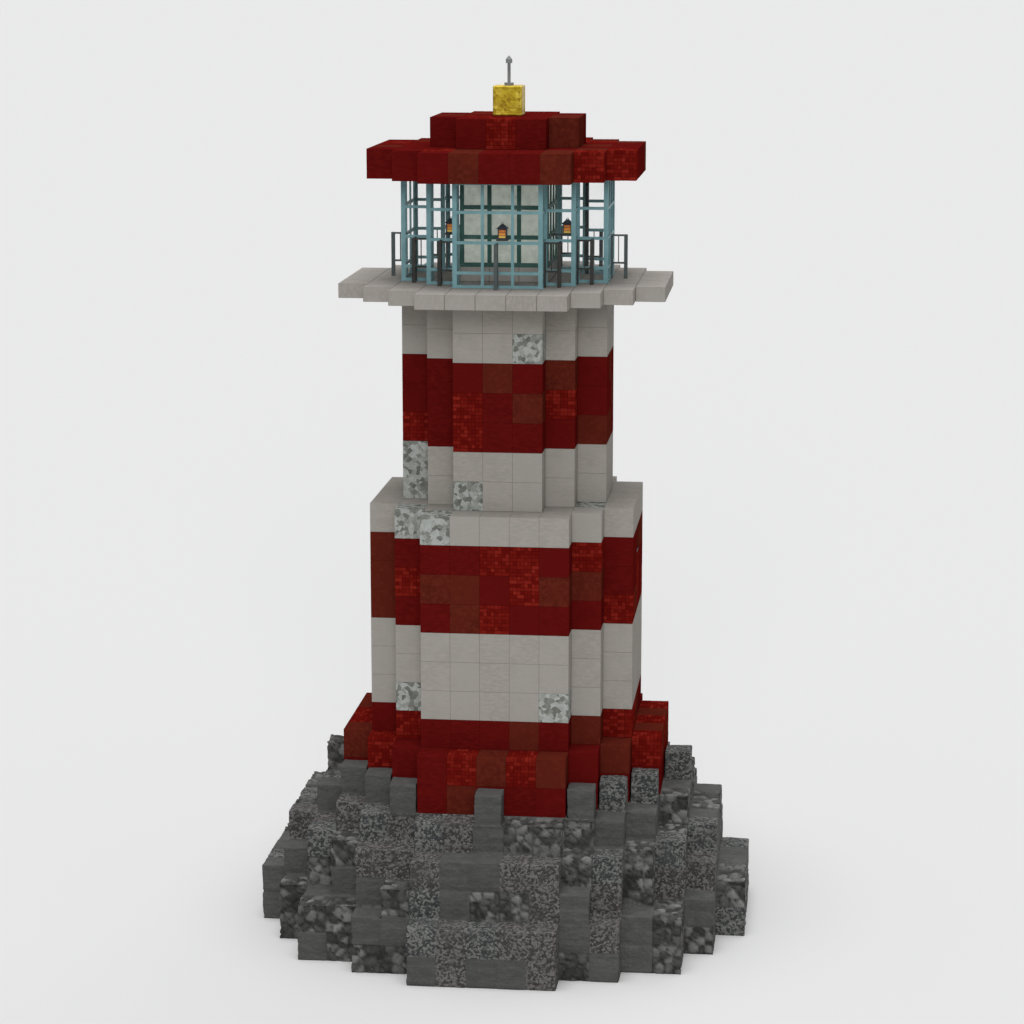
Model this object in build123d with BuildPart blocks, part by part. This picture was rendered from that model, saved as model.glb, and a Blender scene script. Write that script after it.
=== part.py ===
from build123d import *
import os
from math import atan, copysign, degrees

os.makedirs("parts", exist_ok=True)

# Width of the base across the axes, and how far each stage stands out or back from its neighbour
base_width = 11000.0
rock_top_ledge = 1000.0
rock_shelf_ledge = 1000.0
rock_foot_ledge = 1000.0
base_ledge = 1000.0
setback_ledge = 1000.0
gallery_overhang = 2000.0
eaves_overhang = 1000.0
cap_ledge = 2000.0
rock_ledge_side = 7000.0
lens_width = 3000.0
finial_width = 1000.0

# Module of the masonry: outlines step by about one block, stretched to fill the stage's width
base_blocks = 11
block = base_width / base_blocks

# Widths of the stages, each from the one that it meets
rock_top_width = base_width + 2 * rock_top_ledge
rock_shelf_width = rock_top_width + 2 * rock_shelf_ledge
rock_ledge_width = rock_shelf_width
rock_foot_width = rock_ledge_width + 2 * rock_foot_ledge
lower_width = base_width - 2 * base_ledge
upper_width = lower_width - 2 * setback_ledge
gallery_width = upper_width + 2 * gallery_overhang
lantern_width = upper_width
eaves_width = lantern_width + 2 * eaves_overhang
cap_width = eaves_width - 2 * cap_ledge

# Heights of the stages, from the ground up
rock_foot_height = 2000.0
rock_ledge_height = 1000.0
rock_shelf_height = 1000.0
rock_top_height = 1000.0
base_height = 2000.0
lower_foot_height = 1000.0
lower_white_height = 3000.0
lower_red_height = 3000.0
setback_height = 1000.0
upper_white_low_height = 2000.0
upper_red_height = 3000.0
upper_white_high_height = 2000.0
gallery_thickness = 500.0
lens_plinth_height = 500.0
lens_height = 3000.0
eaves_height = 1000.0
cap_height = 1000.0
finial_height = 1000.0

# Wall thicknesses
base_wall = 2000.0
lower_wall = 1000.0
upper_wall = 1000.0

# Loose rocks around the base
stone_height = 1000.0
stone_joint = 12.0
stone_bevel = 70.0

# Windows in the lower drum
window_width = 1000.0
window_height = 1000.0
window_inset = 160.0
window_bar_width = 90.0
window_frame_depth = 140.0
window_rebate = 50.0
pane_thickness = 30.0

# Lantern room
post_width = 100.0
sash_bar_width = 100.0
sash_stile_width = 50.0
sash_depth = 60.0
light_height = 1000.0
upright_width = 120.0
upright_gap = 40.0
upright_offset = 60.0

# Lens
lens_bar_width = 140.0
lens_panel_thickness = 60.0
panel_gap = 20.0

# Hand lamps on brackets around the lens
lamp_circle_radius = 2000.0
lamp_foot_level = 1000.0
lamp_width = 300.0
lamp_height = 340.0
lamp_cap_width = 380.0
lamp_cap_height = 140.0
lamp_cap_top_width = 184.0
lamp_knob_width = 100.0
lamp_knob_height = 80.0
bracket_width = 160.0
bracket_thickness = 60.0

# Guard fins on the gallery
fin_length = 500.0
fin_height = 1000.0
fin_bar_width = 60.0
fin_post_width = 120.0

# Edge of the gilded block, and the lightning rod on it
finial_bevel = 40.0
rod_foot_radius = 160.0
rod_foot_height = 90.0
rod_radius = 55.0
rod_height = 1000.0
rod_head_radius = 110.0
rod_head_height = 260.0

# Levels above the ground
rock_foot_top = rock_foot_height
rock_ledge_top = rock_foot_top + rock_ledge_height
rock_shelf_top = rock_ledge_top + rock_shelf_height
rock_top = rock_shelf_top + rock_top_height
base_top = rock_top + base_height
lower_foot_top = base_top + lower_foot_height
lower_white_top = lower_foot_top + lower_white_height
lower_red_top = lower_white_top + lower_red_height
setback_top = lower_red_top + setback_height
upper_white_low_top = setback_top + upper_white_low_height
upper_red_top = upper_white_low_top + upper_red_height
upper_white_high_top = upper_red_top + upper_white_high_height
gallery_top = upper_white_high_top + gallery_thickness
lens_bottom = gallery_top + lens_plinth_height
eaves_bottom = lens_bottom + lens_height
eaves_top = eaves_bottom + eaves_height
cap_top = eaves_top + cap_height
finial_top = cap_top + finial_height
lantern_height = eaves_bottom - gallery_top

# Hollow of the upper drum
shaft_width = upper_width - 2 * upper_wall


def save(part, name):
    part.label = name
    export_step(part, f"parts/{name}.step")


def count_blocks(width):
    return max(round(width / block), 1)


def step_size(width):
    return width / count_blocks(width)


def row_offsets(width):
    """Centres of the rows of blocks across a width, counted in blocks from the middle."""
    count = count_blocks(width)
    return [row - (count - 1) / 2 for row in range(count)]


def chord_length(width, offset):
    """Length of a row: the blocks in it whose centres lie within the round."""
    reach = count_blocks(width) / 2
    inside = [x for x in row_offsets(width) if x**2 + offset**2 <= reach**2]
    return len(inside) * step_size(width)


def side_length(width):
    """Length of the straight side that a round of blocks has on each axis."""
    return chord_length(width, row_offsets(width)[0])


def stepped_round(width, mode=Mode.ADD):
    step = step_size(width)
    for offset in row_offsets(width):
        with Locations((0, offset * step)):
            Rectangle(chord_length(width, offset), step, mode=mode)


def stepped_diamond(width, mode=Mode.ADD):
    step = step_size(width)
    for offset in row_offsets(width):
        with Locations((0, offset * step)):
            Rectangle(width - 2 * abs(offset) * step, step, mode=mode)


def straight_walls(width, wall, mode=Mode.ADD):
    """The four straight stretches of a ring of wall, on the axes."""
    with PolarLocations((width - wall) / 2, 4):
        Rectangle(wall, side_length(width), mode=mode)


def build_straight_walls(width, wall, bottom, top):
    with BuildPart() as walls:
        with BuildSketch(Plane.XY.offset(bottom)):
            straight_walls(width, wall)
        extrude(amount=top - bottom)
    return walls.part


def build_corner_walls(width, wall, bottom, top, hollow):
    """The four stepped stretches of a ring of wall, between the straight ones."""
    with BuildPart() as walls:
        with BuildSketch(Plane.XY.offset(bottom)):
            stepped_round(width)
            hollow(width - 2 * wall, Mode.SUBTRACT)
            straight_walls(width, wall, Mode.SUBTRACT)
        extrude(amount=top - bottom)
    return walls.part


# Rock mound: four tiers of solid rock, the second with longer straight sides than its round gives
with BuildPart() as rock_tier_1:
    with BuildSketch():
        stepped_round(rock_foot_width)
    extrude(amount=rock_foot_height)
save(rock_tier_1.part, "rock_tier_1")

with BuildPart() as rock_tier_2:
    with BuildSketch(Plane.XY.offset(rock_foot_top)):
        stepped_round(rock_ledge_width)
        Rectangle(rock_ledge_width, rock_ledge_side)
        Rectangle(rock_ledge_side, rock_ledge_width)
    extrude(amount=rock_ledge_height)
save(rock_tier_2.part, "rock_tier_2")

with BuildPart() as rock_tier_3:
    with BuildSketch(Plane.XY.offset(rock_ledge_top)):
        stepped_round(rock_shelf_width)
    extrude(amount=rock_shelf_height)
save(rock_tier_3.part, "rock_tier_3")

with BuildPart() as rock_tier_4:
    with BuildSketch(Plane.XY.offset(rock_shelf_top)):
        stepped_round(rock_top_width)
    extrude(amount=rock_top_height)
save(rock_tier_4.part, "rock_tier_4")

# Loose rocks on the top tier: the blocks that a round half a block wider than the base takes in
base_step = step_size(base_width)
base_reach = count_blocks(base_width) / 2
collar_offsets = row_offsets(base_width + 2 * block)
collar_blocks = [
    (x, y)
    for x in collar_offsets
    for y in collar_offsets
    if base_reach**2 < x**2 + y**2 <= (base_reach + 0.5) ** 2
]


def stone_span(offset):
    """Centre and size of a stone in one direction, on the base's module or on the ledge past it."""
    if abs(offset) > base_reach:
        return copysign((base_width + rock_top_ledge) / 2, offset), rock_top_ledge
    return offset * base_step, base_step


with BuildPart() as rock_collar:
    with BuildSketch(Plane.XY.offset(rock_top)):
        for x, y in collar_blocks:
            middle_x, size_x = stone_span(x)
            middle_y, size_y = stone_span(y)
            with Locations((middle_x, middle_y)):
                Rectangle(size_x - 2 * stone_joint, size_y - 2 * stone_joint)
    extrude(amount=stone_height)
    chamfer(rock_collar.edges().group_by(Axis.Z)[-1], stone_bevel)
save(rock_collar.part, "rock_collar")

# Base ring
base_straight = build_straight_walls(base_width, base_wall, rock_top, base_top)
save(base_straight, "base_straight_walls")
base_corners = build_corner_walls(base_width, base_wall, rock_top, base_top, stepped_round)
save(base_corners, "base_corner_walls")

# Lower drum, in bands of colour; the red band's straight walls follow by themselves
lower_bands = {
    "lower_foot": (base_top, lower_foot_top),
    "lower_white": (lower_foot_top, lower_white_top),
    "lower_red": (lower_white_top, lower_red_top),
}
for name, (bottom, top) in lower_bands.items():
    corners = build_corner_walls(lower_width, lower_wall, bottom, top, stepped_round)
    save(corners, f"{name}_corner_walls")
for name in ("lower_foot", "lower_white"):
    straight = build_straight_walls(lower_width, lower_wall, *lower_bands[name])
    save(straight, f"{name}_straight_walls")

with BuildPart() as red_front_back:
    with BuildSketch(Plane.XY.offset(lower_white_top)):
        with GridLocations(0, lower_width - lower_wall, 1, 2):
            Rectangle(side_length(lower_width), lower_wall)
    extrude(amount=lower_red_height)
save(red_front_back.part, "lower_red_front_back_walls")

# East and west walls, each with a window under the setback course, which is its lintel
window_middle = lower_red_top - window_height / 2
window_planes = {
    "east": Plane((lower_width / 2, 0, window_middle), x_dir=(0, 1, 0), z_dir=(1, 0, 0)),
    "west": Plane((-lower_width / 2, 0, window_middle), x_dir=(0, -1, 0), z_dir=(-1, 0, 0)),
}
with BuildPart() as red_window_walls:
    with BuildSketch(Plane.XY.offset(lower_white_top)):
        with GridLocations(lower_width - lower_wall, 0, 2, 1):
            Rectangle(lower_wall, side_length(lower_width))
    extrude(amount=lower_red_height)
    with BuildSketch(*window_planes.values()):
        Rectangle(window_width, window_height)
    extrude(amount=-lower_wall, mode=Mode.SUBTRACT)
save(red_window_walls.part, "lower_red_window_walls")

# Window frames stand back from the wall's face, and the panes stand back in the frames
light_width = window_width - 2 * window_bar_width
light_tall = window_height - 2 * window_bar_width
with BuildPart() as window_frames:
    with BuildSketch(*[plane.offset(-window_inset) for plane in window_planes.values()]):
        Rectangle(window_width, window_height)
        Rectangle(light_width, light_tall, mode=Mode.SUBTRACT)
    extrude(amount=-window_frame_depth)
save(window_frames.part, "window_frames")

pane_inset = window_inset + window_rebate
with BuildPart() as window_panes:
    with BuildSketch(*[plane.offset(-pane_inset) for plane in window_planes.values()]):
        Rectangle(light_width, light_tall)
    extrude(amount=-pane_thickness)
save(window_panes.part, "window_panes")

# Setback course: one ring that carries the narrower drum and leaves a ledge around it
with BuildPart() as setback_course:
    with BuildSketch(Plane.XY.offset(lower_red_top)):
        stepped_round(lower_width)
        stepped_diamond(shaft_width, Mode.SUBTRACT)
    extrude(amount=setback_height)
save(setback_course.part, "setback_course")

# Upper drum, in bands of colour, with corner blocks that lap the straight walls inside
upper_bands = {
    "upper_white_low": (setback_top, upper_white_low_top),
    "upper_red": (upper_white_low_top, upper_red_top),
    "upper_white_high": (upper_red_top, upper_white_high_top),
}
for name, (bottom, top) in upper_bands.items():
    straight = build_straight_walls(upper_width, upper_wall, bottom, top)
    corners = build_corner_walls(upper_width, upper_wall, bottom, top, stepped_diamond)
    save(straight, f"{name}_straight_walls")
    save(corners, f"{name}_corner_walls")

# Gallery slab, which is also the floor of the lantern room
with BuildPart() as gallery_slab:
    with BuildSketch(Plane.XY.offset(upper_white_high_top)):
        stepped_round(gallery_width)
    extrude(amount=gallery_thickness)
save(gallery_slab.part, "gallery_slab")

# Lantern glazing: posts at every corner of the stepped outline, a glazed sash between two posts
lantern_step = step_size(lantern_width)
lantern_side = side_length(lantern_width)
with BuildSketch() as post_line:
    stepped_round(lantern_width)
    offset(amount=-post_width / 2, kind=Kind.INTERSECTION, mode=Mode.REPLACE)

with BuildPart() as lantern_posts:
    with BuildSketch(Plane.XY.offset(gallery_top)):
        with Locations([(corner.X, corner.Y) for corner in post_line.vertices()]):
            Rectangle(post_width, post_width)
    extrude(amount=lantern_height)
save(lantern_posts.part, "lantern_posts")

rail_levels = [sash_bar_width / 2, lantern_height - sash_bar_width / 2]
level = lens_plinth_height
while level < lantern_height - sash_bar_width:
    rail_levels.append(level)
    level += light_height


def build_sash(plane, width):
    """A flat lattice of bars: stiles at its ends, mullions on the block module, and rails."""
    bays = max(round(width / lantern_step), 1)
    mullions = [(bay - bays / 2) * lantern_step for bay in range(1, bays)]
    with BuildPart() as sash:
        with BuildSketch(plane):
            for rail in rail_levels:
                with Locations((0, rail)):
                    Rectangle(width, sash_bar_width)
            with Locations((0, lantern_height / 2)):
                with GridLocations(width - sash_stile_width, 0, 2, 1):
                    Rectangle(sash_stile_width, lantern_height)
                with Locations([(mullion, 0) for mullion in mullions]):
                    Rectangle(sash_bar_width, lantern_height)
        extrude(amount=-sash_depth)
    return sash.part


def build_sheet(plane, width):
    """A sheet of glass on the back of a sash."""
    with BuildPart() as sheet:
        with BuildSketch(plane.offset(-sash_depth)):
            with Locations((0, lantern_height / 2)):
                Rectangle(width, lantern_height)
        extrude(amount=-pane_thickness)
    return sheet.part


sashes = {"front_back": [], "east_west": [], "steps": []}
sheets = {"sides": [], "steps": []}
for stretch in post_line.edges():
    middle = stretch.center()
    faces_y = abs(stretch.tangent_at(0.5).X) > abs(stretch.tangent_at(0.5).Y)
    outward = Vector(0, copysign(1, middle.Y)) if faces_y else Vector(copysign(1, middle.X), 0)
    face_middle = middle + outward * (post_width / 2)
    plane = Plane(
        (face_middle.X, face_middle.Y, gallery_top),
        x_dir=outward.cross(Vector(0, 0, -1)),
        z_dir=outward,
    )
    clear_width = stretch.length - post_width
    on_side = stretch.length > lantern_step * 1.5
    side_group = "front_back" if faces_y else "east_west"
    sashes[side_group if on_side else "steps"].append(build_sash(plane, clear_width))
    sheets["sides" if on_side else "steps"].append(build_sheet(plane, clear_width))

for group, group_sashes in sashes.items():
    with BuildPart() as lantern_sashes:
        add(group_sashes)
    save(lantern_sashes.part, f"lantern_sashes_{group}")
for group, group_sheets in sheets.items():
    with BuildPart() as lantern_glass:
        add(group_sheets)
    save(lantern_glass.part, f"lantern_glass_{group}")

# Lens: a plinth, a cage of bars on the block module and frosted panels behind the bars
with BuildPart() as lens_plinth:
    with BuildSketch(Plane.XY.offset(gallery_top)):
        Rectangle(lens_width, lens_width)
    extrude(amount=lens_plinth_height)
save(lens_plinth.part, "lens_plinth")

lens_hollow = lens_width - 2 * lens_bar_width
lens_step = step_size(lens_width)
lens_bars = count_blocks(lens_width) - 1
lens_courses = count_blocks(lens_height)
lens_rails = [lens_bar_width / 2, lens_height - lens_bar_width / 2]
lens_rails += [lens_height / lens_courses * course for course in range(1, lens_courses)]
with BuildPart() as lens_cage:
    for rail in lens_rails:
        with BuildSketch(Plane.XY.offset(lens_bottom + rail - lens_bar_width / 2)):
            Rectangle(lens_width, lens_width)
            Rectangle(lens_hollow, lens_hollow, mode=Mode.SUBTRACT)
        extrude(amount=lens_bar_width)
    with BuildSketch(Plane.XY.offset(lens_bottom)):
        with GridLocations(lens_width - lens_bar_width, lens_width - lens_bar_width, 2, 2):
            Rectangle(lens_bar_width, lens_bar_width)
        with GridLocations(lens_width - lens_bar_width, lens_step, 2, lens_bars):
            Rectangle(lens_bar_width, lens_bar_width)
        with GridLocations(lens_step, lens_width - lens_bar_width, lens_bars, 2):
            Rectangle(lens_bar_width, lens_bar_width)
    extrude(amount=lens_height)
save(lens_cage.part, "lens_cage")

with BuildPart() as lens_panels:
    with BuildSketch(Plane.XY.offset(lens_bottom)):
        with PolarLocations((lens_hollow - lens_panel_thickness) / 2, 4):
            Rectangle(lens_panel_thickness, lens_hollow - 2 * lens_panel_thickness - 2 * panel_gap)
    extrude(amount=lens_height)
save(lens_panels.part, "lens_panels")

# Four hand lamps, each on a bracket from a rail of the lens cage
lamp_foot = lens_bottom + lamp_foot_level
bracket_length = lamp_circle_radius - lens_width / 2
with BuildPart() as lamp_brackets:
    with BuildSketch(Plane.XY.offset(lamp_foot - bracket_thickness)):
        with PolarLocations(lens_width / 2 + bracket_length / 2, 4):
            Rectangle(bracket_length, bracket_width)
        with PolarLocations(lamp_circle_radius, 4):
            Rectangle(lamp_cap_width, lamp_cap_width)
    extrude(amount=bracket_thickness)
save(lamp_brackets.part, "lamp_brackets")

with BuildPart() as lamp_bodies:
    with BuildSketch(Plane.XY.offset(lamp_foot)):
        with PolarLocations(lamp_circle_radius, 4):
            Rectangle(lamp_width, lamp_width)
    extrude(amount=lamp_height)
save(lamp_bodies.part, "lamp_bodies")

cap_taper = degrees(atan((lamp_cap_width - lamp_cap_top_width) / 2 / lamp_cap_height))
with BuildPart() as lamp_caps:
    with BuildSketch(Plane.XY.offset(lamp_foot + lamp_height)):
        with PolarLocations(lamp_circle_radius, 4):
            Rectangle(lamp_cap_width, lamp_cap_width)
    extrude(amount=lamp_cap_height, taper=cap_taper)
    with BuildSketch(Plane.XY.offset(lamp_foot + lamp_height + lamp_cap_height)):
        with PolarLocations(lamp_circle_radius, 4):
            Rectangle(lamp_knob_width, lamp_knob_width)
    extrude(amount=lamp_knob_height)
save(lamp_caps.part, "lamp_caps")


def build_guard_fin(foot, outward):
    """A railing panel that stands off the glazing: an upright at its foot, two rails and a bar."""
    fin_top = lens_plinth_height + fin_height
    with BuildPart() as fin:
        with BuildSketch(Plane(foot, x_dir=outward, z_dir=outward.cross(Vector(0, 0, 1)))):
            for rail in (lens_plinth_height + fin_bar_width / 2, fin_top - fin_bar_width / 2):
                with Locations((fin_length / 2, rail)):
                    Rectangle(fin_length, fin_bar_width)
            with Locations((fin_bar_width / 2, fin_top / 2)):
                Rectangle(fin_bar_width, fin_top)
            with Locations((fin_length / 2, lens_plinth_height + fin_height / 2)):
                Rectangle(fin_bar_width / 2, fin_height)
        extrude(amount=fin_bar_width / 2, both=True)
    return fin.part


# Guard fins on the axes: each stands straight out from the middle of a side
fin_post_height = lens_plinth_height + fin_height
lantern_face = lantern_width / 2
axis_fins = []
for turn in (0, 90, 180, 270):
    outward = Vector(1, 0).rotate(Axis.Z, turn)
    axis_fins.append(build_guard_fin(outward * lantern_face + Vector(0, 0, gallery_top), outward))
with BuildPart() as guard_fins_axes:
    add(axis_fins)
    with BuildSketch(Plane.XY.offset(gallery_top)):
        with PolarLocations(lantern_face + fin_length, 4):
            Rectangle(fin_post_width, fin_post_width)
    extrude(amount=fin_post_height)
save(guard_fins_axes.part, "guard_fins_axes")

# Guard fins in the steps of the outline: two panels, one from each wall, meet at a post
step_walls = [
    (lantern_face - lantern_step, lantern_side / 2),
    (lantern_side / 2, lantern_face - lantern_step),
]
step_posts = []
step_fins = []
for wall_x, wall_y in step_walls:
    for side_x in (-1, 1):
        for side_y in (-1, 1):
            post_x = side_x * (wall_x + fin_length)
            post_y = side_y * (wall_y + fin_length)
            step_posts.append((post_x, post_y))
            foot_x = Vector(side_x * wall_x, post_y, gallery_top)
            foot_y = Vector(post_x, side_y * wall_y, gallery_top)
            step_fins.append(build_guard_fin(foot_x, Vector(side_x, 0)))
            step_fins.append(build_guard_fin(foot_y, Vector(0, side_y)))
with BuildPart() as guard_fins_steps:
    add(step_fins)
    with BuildSketch(Plane.XY.offset(gallery_top)):
        with Locations(step_posts):
            Rectangle(fin_post_width, fin_post_width)
    extrude(amount=fin_post_height)
save(guard_fins_steps.part, "guard_fins_steps")

# A dark upright inside the glazing, beside the step on the east side
upright_clear = sash_depth + pane_thickness + upright_gap + upright_width / 2
upright_place = (lantern_face - lantern_step + upright_offset, lantern_side / 2 - upright_clear)
with BuildPart() as lantern_upright:
    with BuildSketch(Plane.XY.offset(gallery_top)):
        with Locations(upright_place):
            Rectangle(upright_width, upright_width)
    extrude(amount=lantern_height)
save(lantern_upright.part, "lantern_upright")

# Roof in two stepped slabs
with BuildPart() as roof_eaves:
    with BuildSketch(Plane.XY.offset(eaves_bottom)):
        stepped_round(eaves_width)
    extrude(amount=eaves_height)
save(roof_eaves.part, "roof_eaves")

with BuildPart() as roof_cap:
    with BuildSketch(Plane.XY.offset(eaves_top)):
        stepped_round(cap_width)
    extrude(amount=cap_height)
save(roof_cap.part, "roof_cap")

# Gilded block and the lightning rod on it
with BuildPart() as finial_block:
    with BuildSketch(Plane.XY.offset(cap_top)):
        Rectangle(finial_width, finial_width)
    extrude(amount=finial_height)
    chamfer(finial_block.edges().group_by(Axis.Z)[-1], finial_bevel)
save(finial_block.part, "finial_block")

with BuildPart() as lightning_rod:
    with BuildSketch(Plane.XZ):
        with BuildLine():
            Polyline(
                (0, finial_top),
                (rod_foot_radius, finial_top),
                (rod_foot_radius, finial_top + rod_foot_height),
                (rod_radius, finial_top + rod_foot_height),
                (rod_radius, finial_top + rod_height - rod_head_height),
                (rod_head_radius, finial_top + rod_height - rod_head_height),
                (rod_head_radius, finial_top + rod_height - rod_head_height / 2),
                (0, finial_top + rod_height),
                close=True,
            )
        make_face()
    revolve(axis=Axis.Z)
save(lightning_rod.part, "lightning_rod")
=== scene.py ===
import random
from math import cos, floor, pi, radians, sin

import bmesh
import bpy
from mathutils import Matrix, Vector, noise


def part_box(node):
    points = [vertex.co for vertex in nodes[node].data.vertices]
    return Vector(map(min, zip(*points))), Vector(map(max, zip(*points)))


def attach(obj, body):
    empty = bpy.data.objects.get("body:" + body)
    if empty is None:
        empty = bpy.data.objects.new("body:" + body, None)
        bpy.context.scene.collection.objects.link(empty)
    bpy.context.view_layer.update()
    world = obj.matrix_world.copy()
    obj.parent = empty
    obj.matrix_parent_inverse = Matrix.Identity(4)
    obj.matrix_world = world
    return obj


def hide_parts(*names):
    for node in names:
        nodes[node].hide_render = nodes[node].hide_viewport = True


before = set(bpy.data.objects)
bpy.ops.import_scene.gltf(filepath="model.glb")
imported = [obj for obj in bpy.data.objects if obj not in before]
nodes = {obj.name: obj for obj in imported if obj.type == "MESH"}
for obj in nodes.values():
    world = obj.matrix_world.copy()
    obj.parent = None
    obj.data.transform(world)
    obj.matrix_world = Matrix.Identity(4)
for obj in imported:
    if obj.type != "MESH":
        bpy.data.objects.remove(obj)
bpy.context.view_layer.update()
scene = bpy.context.scene
scene.view_settings.view_transform = "Standard"
print("frame loaded:", len(nodes), "nodes")


camera = {
    "position": (10.5, -94.65, 33.0),
    "aim": (0.1, 0.0, 14.3),
    "lens": 98.0,  # a long lens, so that the tower fills the picture
    "sensor": 36.0,
    "reach": 40000.0,
}


def addCamera(settings):
    data = bpy.data.cameras.new("camera")
    data.lens = settings["lens"]
    data.sensor_width = settings["sensor"]
    data.clip_end = settings["reach"]
    holder = bpy.data.objects.new("camera", data)
    holder.location = settings["position"]
    look = Vector(settings["aim"]) - Vector(settings["position"])
    holder.rotation_euler = look.to_track_quat("-Z", "Y").to_euler()
    scene.collection.objects.link(holder)
    scene.camera = holder


addCamera(camera)


def tint(red, green, blue):
    # 0-255 screen colour to the linear colour that a socket takes
    parts = [value / 255 for value in (red, green, blue)]
    return tuple(p / 12.92 if p <= 0.04045 else ((p + 0.055) / 1.055) ** 2.4 for p in parts) + (1.0,)


class Wire:
    # an output socket that works in sums: each operation adds its Math node
    def __init__(self, tree, socket):
        self.tree = tree
        self.socket = socket

    def sum(self, operation, first, second):
        node = self.tree.nodes.new("ShaderNodeMath")
        node.operation = operation
        for socket, value in zip(node.inputs, (first, second)):
            if isinstance(value, Wire):
                self.tree.links.new(value.socket, socket)
            else:
                socket.default_value = value
        return Wire(self.tree, node.outputs[0])

    def __add__(self, other):
        return self.sum("ADD", self, other)

    __radd__ = __add__

    def __sub__(self, other):
        return self.sum("SUBTRACT", self, other)

    def __rsub__(self, other):
        return self.sum("SUBTRACT", other, self)

    def __mul__(self, other):
        return self.sum("MULTIPLY", self, other)

    __rmul__ = __mul__

    def __gt__(self, other):
        return self.sum("GREATER_THAN", self, other)


class Finish:
    # one material, and the nodes that it is made of
    def __init__(self, name):
        self.material = bpy.data.materials.new(name)
        self.material.use_nodes = True
        self.tree = self.material.node_tree
        self.tree.nodes.clear()
        self.place = self.add("ShaderNodeTexCoord", output="Object")

    def add(self, kind, settings=None, inputs=None, output=0):
        node = self.tree.nodes.new(kind)
        for key, value in (settings or {}).items():
            if key == "stops":
                ramp = node.color_ramp
                while len(ramp.elements) < len(value):
                    ramp.elements.new(0.5)
                for stop, (position, colour) in zip(ramp.elements, value):
                    stop.position = position
                    stop.color = colour
            else:
                setattr(node, key, value)
        for key, value in (inputs or {}).items():
            if isinstance(value, Wire):
                self.tree.links.new(value.socket, node.inputs[key])
            else:
                node.inputs[key].default_value = value
        return Wire(self.tree, node.outputs[output])

    def grain(self, scale, detail=3.0, rough=0.55, stretch=None):
        where = self.place
        if stretch:
            where = self.add("ShaderNodeMapping", inputs={"Vector": where, "Scale": stretch})
        inputs = {"Vector": where, "Scale": scale, "Detail": detail, "Roughness": rough}
        return self.add("ShaderNodeTexNoise", inputs=inputs)

    def cells(self, scale, output="Distance"):
        inputs = {"Vector": self.place, "Scale": scale}
        return self.add("ShaderNodeTexVoronoi", inputs=inputs, output=output)

    def fade(self, value, low, high):
        # 0 below low, 1 above high
        inputs = {"Value": value, "From Min": low, "From Max": high}
        return self.add("ShaderNodeMapRange", {"clamp": True}, inputs)

    def blend(self, factor, first, second):
        # the Mix node's sockets go by number: factor 0, colours 6 and 7, mixed colour 2
        return self.add("ShaderNodeMix", {"data_type": "RGBA"}, {0: factor, 6: first, 7: second}, 2)

    def ramp(self, value, stops):
        return self.add("ShaderNodeValToRGB", {"stops": stops}, {"Fac": value})

    def split(self, colour):
        # the red part of a colour, as a value
        return self.add("ShaderNodeSeparateColor", inputs={"Color": colour})

    def mark(self, name):
        return self.add("ShaderNodeAttribute", {"attribute_name": name}, output="Fac")

    def relief(self, height, strength, distance, under=None):
        inputs = {"Height": height, "Strength": strength, "Distance": distance}
        if under:
            inputs["Normal"] = under
        return self.add("ShaderNodeBump", inputs=inputs)

    def close(self, **inputs):
        named = {key.replace("_", " "): value for key, value in inputs.items()}
        shader = self.add("ShaderNodeBsdfPrincipled", inputs=named)
        output = self.tree.nodes.new("ShaderNodeOutputMaterial")
        self.tree.links.new(shader.socket, output.inputs["Surface"])
        return self.material


masonryLook = {
    "redPlain": {
        "body": tint(99, 19, 18), "dark": tint(88, 16, 15), "light": tint(107, 23, 20),
        "seam": tint(104, 18, 16), "seamShare": 0.16, "stretch": (1.0, 1.0, 3.0),
    },
    "redBrown": {
        "body": tint(97, 36, 26), "dark": tint(84, 30, 22), "light": tint(107, 43, 31),
        "seam": tint(104, 40, 30), "seamShare": 0.16, "stretch": (1.6, 1.6, 1.6),
    },
    "whiteSmooth": {
        "body": tint(171, 167, 161), "dark": tint(162, 159, 150), "light": tint(179, 171, 165),
        "seam": tint(138, 136, 120), "seamShare": 0.25, "stretch": (1.0, 1.0, 3.4),
    },
    "paleSlab": {
        "body": tint(170, 166, 160), "dark": tint(158, 154, 148), "light": tint(179, 171, 166),
        "seam": tint(128, 124, 116), "seamShare": 0.65, "stretch": (2.2, 0.6, 1.0),
    },
}
stoneSheen = 0.0
dressing = {"fine": 46.0, "relief": 0.0048}


def makeDressed(name):
    # smooth dressed or limewashed block: a body colour with cloudy, streaked and fine variation
    finish = Finish(name)
    look = masonryLook[name]
    cloud = finish.grain(1.7, 4.0)
    streak = finish.grain(4.5, 3.0, 0.6, look["stretch"])
    fineGrain = finish.grain(dressing["fine"], 2.0, 0.6)
    tone = finish.mark("tone") - 0.5
    dim = finish.fade(cloud + tone * 0.3, 0.4, 0.7)
    colour = finish.blend(dim * 0.7, look["body"], look["dark"])
    colour = finish.blend(finish.fade(streak + tone * 0.1, 0.48, 0.66) * 0.8, colour, look["light"])
    pits = finish.fade(fineGrain, 0.66, 0.78)
    colour = finish.blend(pits * 0.5, colour, look["dark"])
    colour = finish.blend(finish.mark("edge") * look["seamShare"], colour, look["seam"])
    bump = finish.relief(streak * 0.6 + fineGrain * 0.4 - pits * 0.6, 0.6, dressing["relief"])
    return finish.close(
        Base_Color=colour, Roughness=0.62 + cloud * 0.25, Normal=bump, Specular_IOR_Level=stoneSheen,
    )


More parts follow.
